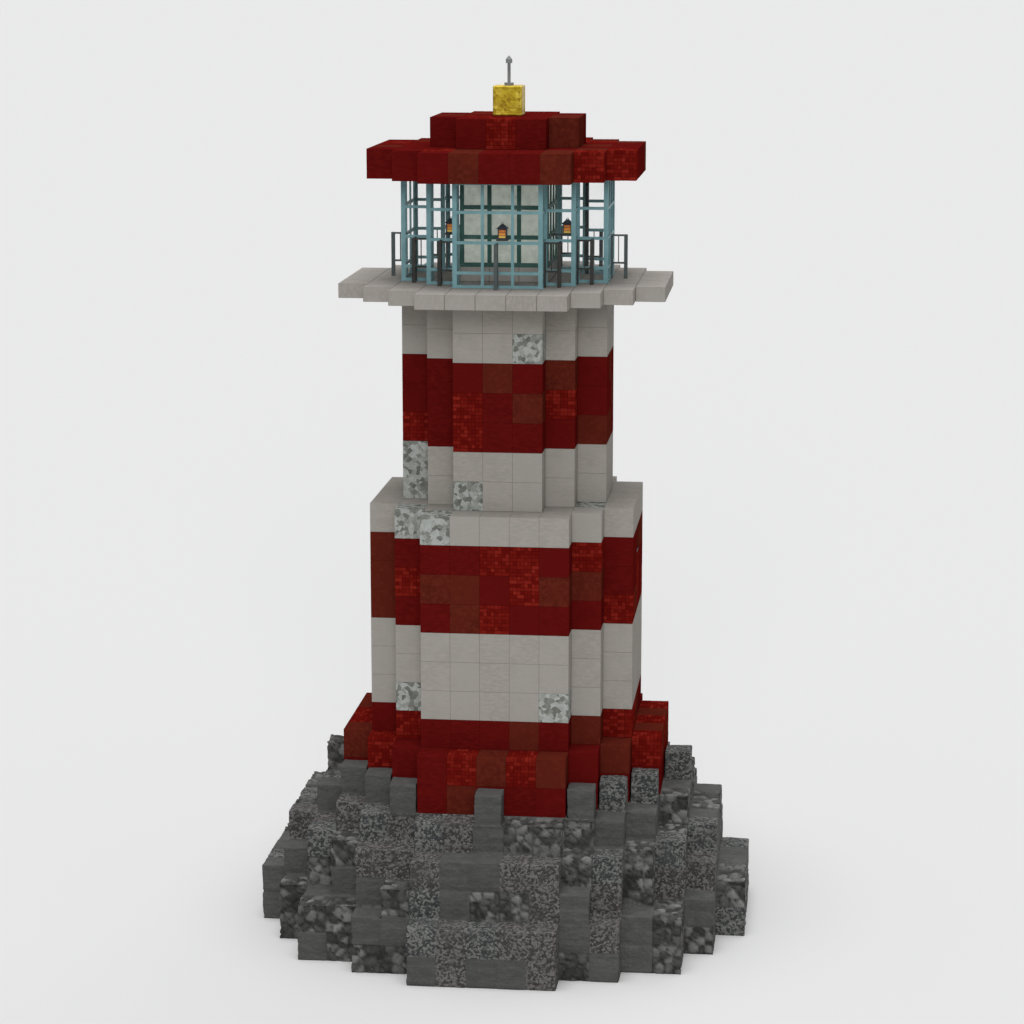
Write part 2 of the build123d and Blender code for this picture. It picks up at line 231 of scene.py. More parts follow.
def makeBrick():
    # hard fired bricks, each one a little different
    finish = Finish("redBrick")
    tone = finish.mark("tone")
    cloud = finish.grain(7.0, 4.0)
    speck = finish.fade(finish.grain(60.0, 2.0), 0.58, 0.7)
    stops = (
        (0.0, tint(98, 15, 12)), (0.45, tint(112, 21, 16)),
        (0.75, tint(124, 28, 21)), (1.0, tint(142, 40, 31)),
    )
    colour = finish.ramp(tone * 0.85 + cloud * 0.25, stops)
    colour = finish.blend(speck * 0.35, colour, tint(130, 40, 32))
    bump = finish.relief(cloud + speck * 0.3, 0.6, 0.006)
    return finish.close(
        Base_Color=colour, Roughness=0.6 + cloud * 0.3, Normal=bump, Specular_IOR_Level=stoneSheen,
    )


def makeWeathered():
    # blocks whose limewash has gone: grey stone with coarse light and dark mottling
    finish = Finish("whiteWeathered")
    patch = finish.split(finish.cells(7.0, "Color"))
    cloud = finish.grain(14.0, 4.0)
    value = patch * 0.7 + cloud * 0.4
    stops = (
        (0.2, tint(112, 114, 108)), (0.38, tint(138, 140, 134)),
        (0.5, tint(162, 165, 160)), (0.75, tint(184, 188, 184)),
    )
    colour = finish.ramp(value, stops)
    hole = finish.fade(finish.cells(16.0), 0.34, 0.12)
    colour = finish.blend(hole * (cloud > 0.5) * 0.7, colour, tint(108, 110, 104))
    bump = finish.relief(value - hole * 0.5, 0.8, 0.02)
    return finish.close(Base_Color=colour, Roughness=0.85, Normal=bump, Specular_IOR_Level=stoneSheen)


def makeMortar(name, body, dark):
    finish = Finish(name)
    cloud = finish.grain(11.0, 4.0)
    grit = finish.grain(120.0, 2.0)
    colour = finish.blend(cloud, body, dark)
    bump = finish.relief(grit, 0.7, 0.004)
    return finish.close(Base_Color=colour, Roughness=0.92, Normal=bump, Specular_IOR_Level=stoneSheen)


masonry = {
    "redPlain": makeDressed("redPlain"),
    "redBrown": makeDressed("redBrown"),
    "redBrick": makeBrick(),
    "whiteSmooth": makeDressed("whiteSmooth"),
    "whiteWeathered": makeWeathered(),
    "paleSlab": makeDressed("paleSlab"),
    "redMortar": makeMortar("redMortar", tint(82, 18, 15), tint(66, 14, 12)),
    "whiteMortar": makeMortar("whiteMortar", tint(140, 138, 122), tint(122, 121, 106)),
}


rockLook = {
    "rockSmooth": {
        "stops": ((0.18, tint(72, 72, 71)), (0.5, tint(87, 87, 86)), (0.82, tint(103, 103, 101))),
        "stain": tint(78, 78, 76), "patch": 3.0, "contrast": 1.5, "streaks": 0.8, "pebbles": 0.0,
        "strata": 1.0,
    },
    "rockRubble": {
        "stops": (
            (0.1, tint(54, 54, 53)), (0.4, tint(92, 92, 90)),
            (0.65, tint(126, 126, 123)), (0.95, tint(166, 166, 162)),
        ),
        "joint": tint(40, 40, 39),
    },
    "rockBrown": {
        "stops": ((0.18, tint(67, 64, 63)), (0.5, tint(87, 84, 83)), (0.82, tint(120, 117, 115))),
        "stain": tint(80, 77, 76), "patch": 6.0, "contrast": 2.3, "streaks": 0.0, "pebbles": 0.6,
        "strata": 0.4,
    },
    "rockBlue": {
        "stops": ((0.18, tint(63, 64, 65)), (0.5, tint(85, 86, 87)), (0.82, tint(125, 126, 122))),
        "stain": tint(78, 78, 79), "patch": 7.0, "contrast": 2.3, "streaks": 0.0, "pebbles": 0.65,
        "strata": 0.4,
    },
}
rockSheen = 0.2
pebbleScale = 15.0


def makeRock(name):
    # plain rock with faint layers, or a conglomerate where it has pebbles
    finish = Finish(name)
    look = rockLook[name]
    streaks, pebbles = look["streaks"], look["pebbles"]
    tone = finish.mark("tone")
    wide = finish.grain(1.3, 5.0)
    patch = finish.grain(look["patch"], 5.0, 0.65)
    speck = finish.grain(look["patch"] * 6.0, 3.0, 0.7)
    layer = finish.grain(6.0, 3.0, 0.6, (0.5, 0.5, 4.0))
    value = patch * (0.6 - streaks * 0.4) + speck * 0.3 + layer * (0.15 + streaks * 0.4) + tone * 0.3 - 0.12
    chips = finish.cells(pebbleScale if pebbles else look["patch"] * 2.2)
    if pebbles:
        value = value * (1 - pebbles) + finish.split(finish.cells(pebbleScale, "Color")) * pebbles
    colour = finish.ramp((value - 0.5) * look["contrast"] + 0.5, look["stops"])
    colour = finish.blend(finish.fade(wide, 0.5, 0.72) * 0.5, colour, look["stain"])
    bump = finish.relief(patch * 0.7 - chips * 0.5, 0.9, 0.05)
    bump = finish.relief(speck, 0.6, 0.012, bump)
    return finish.close(
        Base_Color=colour, Roughness=0.78 + patch * 0.2, Normal=bump, Specular_IOR_Level=rockSheen,
    )


def makeRubble(name):
    # rounded stones of many greys with dark joints; the stones are in the mesh
    finish = Finish(name)
    fineGrain = finish.grain(34.0, 4.0, 0.7)
    cloud = finish.grain(7.0, 4.0)
    value = finish.mark("tone") * 0.75 + (fineGrain - 0.5) * 0.7 + (cloud - 0.5) * 0.4
    colour = finish.ramp(value, rockLook[name]["stops"])
    colour = finish.blend(finish.mark("joint") * 0.85, colour, rockLook[name]["joint"])
    bump = finish.relief(cloud * 0.6 + fineGrain * 0.4, 0.8, 0.02)
    return finish.close(
        Base_Color=colour, Roughness=0.8 + cloud * 0.15, Normal=bump, Specular_IOR_Level=rockSheen,
    )


rockNames = list(rockLook)
rockFinishes = [makeRubble(name) if name == "rockRubble" else makeRock(name) for name in rockNames]
print("stone finishes ready")


def rowsOf(width):
    # where the middles of a row of blocks stand
    return [row - (width - 1) / 2 for row in range(width)]


def roundCells(width):
    # blocks of a stepped round: those whose middles lie within it
    rows = rowsOf(width)
    return {(x, y) for x in rows for y in rows if x * x + y * y <= (width / 2) ** 2}


def diamondCells(width):
    rows = rowsOf(width)
    return {(x, y) for x in rows for y in rows if abs(x) + abs(y) <= (width - 1) / 2}


def addBox(bm, low, high):
    low, high = Vector(low), Vector(high)
    size = high - low
    matrix = Matrix.Translation((low + high) / 2) @ Matrix.Diagonal((*size, 1.0))
    return bmesh.ops.create_cube(bm, size=1.0, matrix=matrix)["verts"]


def addBar(bm, middle, reach):
    # a box by its middle and its half sizes
    addBox(bm, Vector(middle) - Vector(reach), Vector(middle) + Vector(reach))


def facesOf(verts):
    return list(dict.fromkeys(face for vert in verts for face in vert.link_faces))


def edgesOf(faces):
    return list(dict.fromkeys(edge for face in faces for edge in face.edges))


def dropInner(bm, isSolid, reach):
    # deletes the faces that have solid on both sides
    inner = []
    for face in bm.faces:
        face.normal_update()
        centre = face.calc_center_median()
        if all(isSolid(centre + face.normal * way) for way in (reach, -reach)):
            inner.append(face)
    bmesh.ops.delete(bm, geom=inner, context="FACES")


def setMarks(bm, faces, material, tone):
    layer = bm.faces.layers.float["tone"]
    for face in faces:
        face.material_index = material
        face[layer] = tone


def startMesh():
    bm = bmesh.new()
    bm.faces.layers.float.new("tone")
    bm.faces.layers.float.new("edge")
    return bm


def bevelAll(bm, width, segments):
    # rounds every edge, and marks the narrow faces so that the finish can wear there
    bmesh.ops.bevel(
        bm, geom=list(bm.edges), offset=width, affect="EDGES",
        segments=segments, profile=0.5, material=-1, clamp_overlap=True,
    )
    edge = bm.faces.layers.float["edge"]
    for face in bm.faces:
        if face.calc_area() < width * 1.6:
            face[edge] = 1.0


def joinInto(bm, other):
    # moves the mesh of one bmesh into another
    carrier = bpy.data.meshes.new("carrier")
    other.to_mesh(carrier)
    other.free()
    bm.from_mesh(carrier)
    bpy.data.meshes.remove(carrier)


def finishPiece(bm, name, materials, replaced=(), smooth=False):
    bmesh.ops.recalc_face_normals(bm, faces=list(bm.faces))
    mesh = bpy.data.meshes.new(name)
    bm.to_mesh(mesh)
    bm.free()
    for material in materials:
        mesh.materials.append(material)
    if smooth:
        mesh.shade_smooth()
    piece = bpy.data.objects.new(name, mesh)
    scene.collection.objects.link(piece)
    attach(piece, "root")
    if replaced:
        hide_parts(*replaced)
    return piece


def levelsOf(node):
    low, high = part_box(node)
    return low.z, high.z


def wallNodes(stem):
    return (f"{stem}_straight_walls", f"{stem}_corner_walls")


baseCells = roundCells(11) - roundCells(7)
lowerCells = roundCells(9) - roundCells(7)
upperCells = roundCells(7) - diamondCells(5)

# zones of masonry from the base up: the plan of their blocks, and the nodes that they replace
zones = {
    "baseRing": {"cells": baseCells, "kind": "red", "nodes": wallNodes("base")},
    "lowerFoot": {"cells": lowerCells, "kind": "red", "nodes": wallNodes("lower_foot")},
    "lowerWhite": {"cells": lowerCells, "kind": "white", "nodes": wallNodes("lower_white")},
    "lowerRed": {
        "cells": lowerCells, "kind": "red",
        "nodes": ("lower_red_corner_walls", "lower_red_front_back_walls", "lower_red_window_walls"),
    },
    "setback": {"cells": roundCells(9) - diamondCells(5), "kind": "white", "nodes": ("setback_course",)},
    "upperWhiteLow": {"cells": upperCells, "kind": "white", "nodes": wallNodes("upper_white_low")},
    "upperRed": {"cells": upperCells, "kind": "red", "nodes": wallNodes("upper_red")},
    "upperWhiteHigh": {"cells": upperCells, "kind": "white", "nodes": wallNodes("upper_white_high")},
    "gallerySlab": {"cells": roundCells(11), "kind": "slab", "nodes": ("gallery_slab",)},
    "lensPlinth": {"cells": roundCells(3), "kind": "slab", "nodes": ("lens_plinth",)},
    "roofEaves": {"cells": roundCells(9), "kind": "red", "nodes": ("roof_eaves",)},
    "roofCap": {"cells": roundCells(5), "kind": "red", "nodes": ("roof_cap",)},
}
wallFinishes = {  # the mortar comes last
    "red": ("redPlain", "redBrown", "redBrick", "redMortar"),
    "white": ("whiteSmooth", "whiteWeathered", "whiteMortar"),
    "slab": ("paleSlab", "whiteMortar"),
}

blocks = {
    "seed": 1187,
    "joint": {"red": 0.005, "white": 0.005, "slab": 0.010},
    "bevel": {"red": 0.007, "white": 0.008, "slab": 0.012},
    "setIn": 0.001,  # every face stands this far inside the wall's face, and up to "uneven" more
    "uneven": 0.003,
    "mortarDepth": 0.012,
    "brickBed": 0.009,  # how far the bed of a brick-faced block stands back
    "redMix": (("redPlain", 0.50), ("redBrown", 0.27), ("redBrick", 0.23)),
    # the front row of the red courses: level, and where the brown and the brick blocks stand in it
    "frontBrown": {
        5: (-1,), 6: (-5, 0, 2, 4), 7: (1, 3), 11: (-4, -1), 12: (-4, -2, -1, 2, 3), 13: (-4,),
        17: (3,), 18: (1,), 19: (0, 2), 26: (-1, 2), 27: (2,),
    },
    "frontBrick": {
        6: (-4, -1, 1, 5), 7: (-3, 4), 11: (0, 4), 12: (-3, 1), 13: (0, 1, 3),
        17: (-3, -1), 18: (-1, 2), 26: (3, 4), 27: (0,),
    },
    "weatheredShare": 0.05,  # of the far half; on the near half these are the weathered blocks
    "weathered": {
        (-3, -1, 15), (-3, -1, 16), (-1, -3, 15), (-3, -3, 14), (-2, -4, 14),
        (-3, -3, 8), (2, -4, 8), (3, -2, 14), (1, -3, 20),
    },
    "brick": (0.25, 0.125),
    "brickJoint": 0.009,
    "brickUneven": 0.004,
    "brickBevel": 0.006,
}
windowCells = {(-4, 0, 13), (4, 0, 13)}
plinthLevel = 22.5  # stands on the slab, half a block above the slab's own place
weld = 0.0005
walls = [Vector(side) for side in ((1, 0, 0), (-1, 0, 0), (0, 1, 0), (0, -1, 0))]
sides = walls + [Vector((0, 0, 1)), Vector((0, 0, -1))]

# every block of masonry by its place: its zone, the level of its foot and its height
stack = {}
for zoneName, zone in zones.items():
    bottom, top = levelsOf(zone["nodes"][0])
    courses = max(round(top - bottom), 1)
    tall = (top - bottom) / courses
    for course in range(courses):
        level = bottom + course * tall
        height = plinthLevel if zoneName == "lensPlinth" else floor(level + 0.01)
        for x, y in zone["cells"]:
            if (x, y, height) not in windowCells:
                stack[(x, y, height)] = (zoneName, level, tall)


def pickKind(rng, kind, place):
    if kind == "red":
        draw = rng.random()
        x, y, level = place
        if y < 0 and (x, y - 1, level) not in stack:
            if x in blocks["frontBrown"].get(level, ()):
                return "redBrown"
            return "redBrick" if x in blocks["frontBrick"].get(level, ()) else "redPlain"
        for name, share in blocks["redMix"]:
            if draw < share:
                return name
            draw -= share
        return "redPlain"
    if kind == "white":
        chance = rng.random() < blocks["weatheredShare"] and place[1] > 0
        return "whiteWeathered" if chance or place in blocks["weathered"] else "whiteSmooth"
    return "paleSlab"


def axisOf(side):
    # the axis that a side looks along
    return next(axis for axis in range(3) if side[axis])


def drawIn(span, side, depth):
    # moves one side of a box inwards
    axis = axisOf(side)
    if side[axis] > 0:
        span[1][axis] -= depth
    else:
        span[0][axis] += depth


def blockSpan(rng, x, y, level, tall, bare, uneven, joint):
    # the block's corners: a half joint at each neighbour, and a slight uneven set-in at a bare side
    span = [[x - 0.5, y - 0.5, level], [x + 0.5, y + 0.5, level + tall]]
    for side, isBare in zip(sides, bare):
        drawIn(span, side, blocks["setIn"] + rng.random() * uneven if isBare else joint / 2)
    return span


def addBricks(bm, rng, span, bare, material):
    # courses laid across each other in turn, kept where they reach a bare side
    long, short = blocks["brick"]
    gap = blocks["brickJoint"] / 2
    low = Vector(span[0])
    size = Vector(span[1]) - low
    courses = max(round(size.z / short), 1)
    for course in range(courses):
        pitch = (short, long) if course % 2 else (long, short)
        counts = [max(round(size[axis] / pitch[axis]), 1) for axis in range(2)] + [courses]
        steps = [size[axis] / counts[axis] for axis in range(3)]
        for i in range(counts[0]):
            for j in range(counts[1]):
                place = (i, j, course)
                touching = []
                for side, isBare in zip(sides, bare):
                    axis = axisOf(side)
                    outermost = counts[axis] - 1 if side[axis] > 0 else 0
                    touching.append(isBare and place[axis] == outermost)
                if not any(touching):
                    continue
                brick = [
                    [low[axis] + place[axis] * steps[axis] + gap for axis in range(3)],
                    [low[axis] + (place[axis] + 1) * steps[axis] - gap for axis in range(3)],
                ]
                for side, isTouching in zip(sides, touching):
                    if isTouching:
                        drawIn(brick, side, rng.random() * blocks["brickUneven"] - gap)
                setMarks(bm, facesOf(addBox(bm, *brick)), material, rng.random())


def reaches(place, height):
    # whether the block at this place stands at this height
    if place not in stack:
        return False
    _, level, tall = stack[place]
    return level < height < level + tall


def isInside(own, spot):
    # whether one of these blocks holds the spot
    x, y = round(spot.x), round(spot.y)
    if max(abs(spot.x - x), abs(spot.y - y)) >= 0.5:
        return False
    places = [(x, y, height) for height in (floor(spot.z + 0.001), plinthLevel)]
    return any(place in own and reaches(place, spot.z) for place in places)


def addCore(bm, own, material):
    # the bed of mortar behind the faces: the blocks' common skin, drawn in
    core = startMesh()
    for x, y, z in own:
        _, level, tall = stack[(x, y, z)]
        addBox(core, (x - 0.5, y - 0.5, level), (x + 0.5, y + 0.5, level + tall))
    bmesh.ops.remove_doubles(core, verts=list(core.verts), dist=weld)
    dropInner(core, lambda spot: isInside(own, spot), 0.2)
    bmesh.ops.recalc_face_normals(core, faces=list(core.faces))
    depth = blocks["mortarDepth"]
    for vert in core.verts:
        move = Vector((0, 0, 0))
        for face in vert.link_faces:
            for axis in range(3):
                if abs(face.normal[axis]) > 0.5:
                    move[axis] = -depth if face.normal[axis] > 0 else depth
        vert.co += move
    setMarks(core, core.faces, material, 0.5)
    joinInto(bm, core)


def bareSides(x, y, z):
    # which of the block's six sides touch no other block
    _, level, tall = stack[(x, y, z)]
    bare = []
    for side in sides:
        if side.z:
            reach = level + (tall + 0.1 if side.z > 0 else -0.1)
            bare.append(not any(reaches((x, y, height), reach) for height in (floor(reach), plinthLevel)))
        else:
            bare.append((x + side.x, y + side.y, z) not in stack)
    return bare


def buildZone(name, zone):
    rng = random.Random(blocks["seed"] + sum(ord(letter) for letter in name))
    wall = zone["kind"]
    finishes = wallFinishes[wall]
    mortar = len(finishes) - 1
    own = {place for place, (owner, _, _) in stack.items() if owner == name}
    bm, bricks = startMesh(), startMesh()
    for x, y, z in sorted(own):
        _, level, tall = stack[(x, y, z)]
        bare = bareSides(x, y, z)
        kind = pickKind(rng, wall, (x, y, z))
        uneven = 0.0 if kind == "redBrick" else blocks["uneven"]
        span = blockSpan(rng, x, y, level, tall, bare, uneven, blocks["joint"][wall])
        if kind == "redBrick" and any(bare):
            addBricks(bricks, rng, span, bare, finishes.index(kind))
            bed = blocks["brickBed"]
            span = [[v + bed for v in span[0]], [v - bed for v in span[1]]]
            setMarks(bm, facesOf(addBox(bm, *span)), mortar, 0.5)
        else:
            setMarks(bm, facesOf(addBox(bm, *span)), finishes.index(kind), rng.random())
    bevelAll(bm, blocks["bevel"][wall], 2)
    if bricks.faces:
        bevelAll(bricks, blocks["brickBevel"], 1)
    joinInto(bm, bricks)
    addCore(bm, own, mortar)
    piece = finishPiece(bm, name, [masonry[finish] for finish in finishes], zone["nodes"])
    print(name, len(own), "blocks,", len(piece.data.polygons), "faces")


for zoneName, zone in zones.items():
    buildZone(zoneName, zone)


mound = {
    "seed": 60,
    "mix": (0.40, 0.26, 0.17, 0.17),  # shares of the kinds of rock, in the order of rockLook
    "top": 5.0,
    "cuts": 13,
    "probe": 0.08,  # how far behind the skin its block is looked up
    "erosion": 0.06,
    "erosionScale": 1.1,
    "groove": 0.03,
    "grooveWidth": 0.07,
    "stoneSize": 0.33,
    "stoneDepth": 0.075,
    "stoneRim": 0.06,
    "strata": 0.05,
    "strataScale": (0.5, 4.5),  # across and upwards
    "grit": 0.012,
    "gritScale": 9.0,
    "chip": 0.055,
    "chipWidth": 0.2,
    "chipScale": 2.1,
    "edgeWear": 0.02,
    "collarReach": 6.0,
    "looseHalf": 0.485,
    "looseTop": 5.995,
    "bedding": 0.12,  # how deep the loose rocks sit in the top tier
}
cross = {(x, y) for x in range(-7, 8) for y in range(-7, 8) if abs(x) <= 3 or abs(y) <= 3}
tiers = (roundCells(17), roundCells(17), roundCells(15) | cross, roundCells(15), roundCells(13))
rockCells = {(int(x), int(y), z) for z, cells in enumerate(tiers) for x, y in cells}
collarCells = {
    (int(x), int(y), int(mound["top"])) for x, y in roundCells(13) - roundCells(11)
    if x * x + y * y <= mound["collarReach"] ** 2
}
rockRandom = random.Random(mound["seed"])
rockKind = {}
for place in sorted(rockCells | collarCells):
    draw = rockRandom.random()
    for kind, share in enumerate(mound["mix"]):
        if draw < share:
            break
        draw -= share
    rockKind[place] = (kind, rockRandom.random())


def limit(value):
    return min(max(value, 0.0), 1.0)


def stoneTone(spot):
    # the nearest stone of the rubble: 0 at its joint to 1 within it, and its own shade
    distances, points = noise.voronoi(spot / mound["stoneSize"])
    return limit((distances[1] - distances[0]) / 0.3), limit(0.5 + 0.5 * noise.cell(points[0] * 7.3))


def roughen(bm, isHeld, lowest=0):
    # wears the skin inwards: grooves between the blocks, rubble in some, and weathering all over
    toneLayer = bm.verts.layers.float.new("tone")
    jointLayer = bm.verts.layers.float.new("joint")
    across, upwards = mound["strataScale"]
    for vert in bm.verts:
        spot = vert.co.copy()
        vert[toneLayer] = 0.5
        if isHeld(spot):
            continue
        inside = spot - vert.normal * mound["probe"]
        place = (round(inside.x), round(inside.y), max(floor(inside.z), lowest))
        kind, shade = rockKind.get(place, (0, 0.5))
        rock = rockNames[kind]
        # how near the edge of the block is, measured within the face
        offsets = [abs(abs(spot[axis] - round(spot[axis])) - 0.5) for axis in range(2)]
        offsets.append(abs(spot.z - round(spot.z)))
        flat = [axis for axis in range(3) if abs(vert.normal[axis]) < 0.3]
        near = min([offsets[axis] for axis in flat] or [0.0])
        groove = max(0.0, 1.0 - near / mound["grooveWidth"]) ** 1.5
        wear = limit(0.5 + 0.5 * noise.fractal(spot * mound["erosionScale"], 1.0, 2.0, 4))
        depth = mound["erosion"] * wear + mound["groove"] * groove
        if rock == "rockRubble":
            within, stone = stoneTone(spot)
            inner = min(near / mound["stoneRim"], 1.0)
            depth += mound["stoneDepth"] * (1.0 - within) ** 1.5 * inner
            vert[toneLayer] = 0.15 + 0.8 * stone
            vert[jointLayer] = max((1.0 - within) ** 2 * inner, 0.7 * groove)
        else:
            vert[toneLayer] = 0.35 * shade + 0.3 * wear
            layerSpot = Vector((spot.x * across, spot.y * across, spot.z * upwards + place[0] + place[1]))
            depth += mound["strata"] * max(noise.noise(layerSpot), 0.0) * rockLook[rock]["strata"]
            depth += mound["grit"] * abs(noise.noise(spot * mound["gritScale"]))
            broken = max(noise.noise(spot * mound["chipScale"] + Vector((place[2], 0, 0))), 0.0)
            depth += mound["chip"] * broken * max(0.0, 1.0 - near / mound["chipWidth"])
        if len(flat) < 2:
            depth += mound["edgeWear"]
        move = vert.normal * depth
        if spot.z < 0.01:
            move.z = 0.0  # the foot stays flat
        vert.co -= move


def addRock(bm, place, low, high):
    for face in facesOf(addBox(bm, low, high)):
        face.material_index = rockKind[place][0]


def buildMound():
    covered = roundCells(11)

    def isCovered(spot):
        # under the base ring, the rim included
        column = (round(spot.x * 0.999), round(spot.y * 0.999))
        return spot.z > mound["top"] - 0.01 and column in covered

    bm = bmesh.new()
    for x, y, z in sorted(rockCells):
        if any((x + side.x, y + side.y, z + side.z) not in rockCells for side in sides):
            addRock(bm, (x, y, z), (x - 0.5, y - 0.5, z), (x + 0.5, y + 0.5, z + 1))
    dropInner(bm, lambda spot: (round(spot.x), round(spot.y), floor(spot.z)) in rockCells, 0.3)
    bmesh.ops.remove_doubles(bm, verts=list(bm.verts), dist=weld)
    # what never shows becomes one face at the top and one at the foot
    top = [face for face in bm.faces if isCovered(face.calc_center_median())]
    foot = [face for face in bm.faces if face.calc_center_median().z < 0.01]
    for faces in (top, foot):
        bmesh.ops.dissolve_faces(bm, faces=faces, use_verts=False)
    edges = edgesOf(face for face in bm.faces if len(face.verts) == 4)
    bmesh.ops.subdivide_edges(bm, edges=edges, cuts=mound["cuts"], use_grid_fill=True)
    bmesh.ops.recalc_face_normals(bm, faces=list(bm.faces))
    bm.normal_update()
    roughen(bm, isCovered)
    tierNodes = [f"rock_tier_{number}" for number in range(1, 5)]
    piece = finishPiece(bm, "rockMound", rockFinishes, tierNodes, smooth=True)
    print("rockMound", len(piece.data.polygons), "faces")


def buildCollar():
    # loose rocks round the base
    bm = bmesh.new()
    half, foot = mound["looseHalf"], mound["top"] - mound["bedding"]
    for x, y, z in sorted(collarCells):
        addRock(bm, (x, y, z), (x - half, y - half, foot), (x + half, y + half, mound["looseTop"]))
    bmesh.ops.subdivide_edges(bm, edges=list(bm.edges), cuts=mound["cuts"], use_grid_fill=True)
    bm.normal_update()
    roughen(bm, lambda spot: spot.z < foot + 0.001, lowest=int(mound["top"]))
    finishPiece(bm, "rockCollar", rockFinishes, ("rock_collar",), smooth=True)


buildMound()
buildCollar()


def makePaint(name, body, dark, rough, rust=None, gloss=0.3):
    # paint in two close shades, with small patches of rust where it has some
    finish = Finish(name)
    cloud = finish.grain(3.0, 4.0)
    colour = finish.blend(finish.fade(cloud, 0.35, 0.75), body, dark)
    if rust:
        patch = finish.fade(finish.grain(11.0, 5.0, 0.7), 0.67, 0.75)
        colour = finish.blend(patch * 0.8, colour, rust)
    bump = finish.relief(finish.grain(40.0, 3.0), 0.35, 0.002)
    return finish.close(
        Base_Color=colour, Roughness=rough + cloud * 0.2, Normal=bump, Specular_IOR_Level=gloss,
    )


def makeFrosted():
    # rippled frosted glass; its glow is painted light, with no lamp behind it, lifting the panes out of the
    # shade under the roof
    finish = Finish("frostedGlass")
    cloud = finish.grain(4.0, 4.0)
    ripple = finish.grain(26.0, 3.0, 0.6)
    stops = ((0.3, tint(138, 146, 136)), (0.55, tint(162, 168, 157)), (0.8, tint(180, 184, 172)))
    colour = finish.ramp(cloud * 0.7 + ripple * 0.3, stops)
    bump = finish.relief(ripple, 0.4, 0.006)
    return finish.close(
        Base_Color=colour, Roughness=0.24 + ripple * 0.25, Normal=bump, Coat_Weight=0.2,
        # painted light: the panes glow by their own emission, though no lamp lights them
        Emission_Color=colour, Emission_Strength=0.5,
    )


def makeClear(name, colour, alpha):
    # clear glass with a thin uneven film
    finish = Finish(name)
    film = finish.grain(2.5, 4.0)
    return finish.close(
        Base_Color=finish.blend(film, colour, tint(196, 214, 218)), Roughness=0.03 + film * 0.08,
        Alpha=alpha + finish.fade(film, 0.5, 0.8) * 0.03, IOR=1.5, Specular_IOR_Level=0.25,
    )


def makeGilding():
    finish = Finish("gilding")
    cloud = finish.grain(5.0, 4.0)
    patch = finish.split(finish.cells(8.0, "Color"))
    stops = ((0.2, tint(136, 108, 16)), (0.5, tint(172, 148, 30)), (0.85, tint(204, 184, 80)))
    colour = finish.ramp(cloud * 0.6 + patch * 0.4, stops)
    bump = finish.relief(cloud * 0.6 + finish.cells(8.0) * 0.4, 0.5, 0.02)
    return finish.close(Base_Color=colour, Metallic=0.75, Roughness=0.3 + cloud * 0.3, Normal=bump)


def makeLampGlass():
    # lit glass: yellow at the foot, orange above
    finish = Finish("amberGlass")
    height = finish.add("ShaderNodeSeparateXYZ", inputs={"Vector": finish.place}, output="Z")
    rise = finish.fade(height, *levelsOf("lamp_bodies"))
    swirl = finish.grain(9.0, 3.0)
    stops = ((0.1, tint(214, 200, 92)), (0.45, tint(226, 140, 40)), (0.95, tint(158, 70, 20)))
    colour = finish.ramp(rise * 0.85 + swirl * 0.15, stops)
    return finish.close(
        Base_Color=colour, Roughness=0.15 + swirl * 0.1, Emission_Color=colour, Emission_Strength=0.35,
    )


metals = {
    "glazing": makePaint("glazingPaint", tint(130, 174, 180), tint(112, 154, 160), 0.42),
    "cage": makePaint("cagePaint", tint(46, 96, 84), tint(34, 76, 66), 0.45, gloss=0.12),
    "iron": makePaint("darkIron", tint(58, 58, 55), tint(42, 42, 40), 0.5, tint(78, 58, 46)),
    "paleIron": makePaint("paleIron", tint(86, 96, 96), tint(70, 78, 78), 0.5, tint(98, 88, 78)),
    "blackIron": makePaint("blackIron", tint(30, 31, 31), tint(22, 23, 23), 0.5),
    "lampIron": makePaint("lampIron", tint(46, 50, 66), tint(34, 36, 48), 0.4),
    "rod": makePaint("rodSteel", tint(142, 144, 146), tint(112, 114, 116), 0.35),
    "frame": makePaint("windowPaint", tint(66, 70, 74), tint(50, 54, 58), 0.42),
    "frosted": makeFrosted(),
    "clear": makeClear("clearGlass", tint(176, 206, 214), 0.02),
    "pane": makeClear("windowGlass", tint(120, 140, 156), 0.55),
    "gilding": makeGilding(),
    "amber": makeLampGlass(),
}
nodeFinishes = {
    "lantern_posts": "glazing", "lantern_sashes_front_back": "glazing",
    "lantern_sashes_east_west": "glazing", "lantern_sashes_steps": "glazing",
    "lantern_glass_sides": "clear", "lantern_glass_steps": "clear",
    "lens_cage": "cage", "lamp_brackets": "iron", "guard_fins_axes": "paleIron",
    "guard_fins_steps": "iron", "lantern_upright": "blackIron", "lightning_rod": "rod",
    "window_frames": "frame", "window_panes": "pane",
}
for nodeName, finishName in nodeFinishes.items():
    mesh = nodes[nodeName].data
    mesh.materials.clear()
    mesh.materials.append(metals[finishName])
print("metal and glass finishes ready")


# the lens: domed frosted panes in the cage, one a square metre
lens = {
    "bar": 0.14,
    "sunk": 0.077,  # from the face of the cage in to the middle of a pane
    "thick": 0.05,
    "overlap": 0.02,
    "outer": 0.07,  # how much smaller the panes at the rim are, to keep off its wider bars
    "insets": (0.10, 0.12, 0.10),
    "dome": 0.077,  # rise for each metre of inset
}


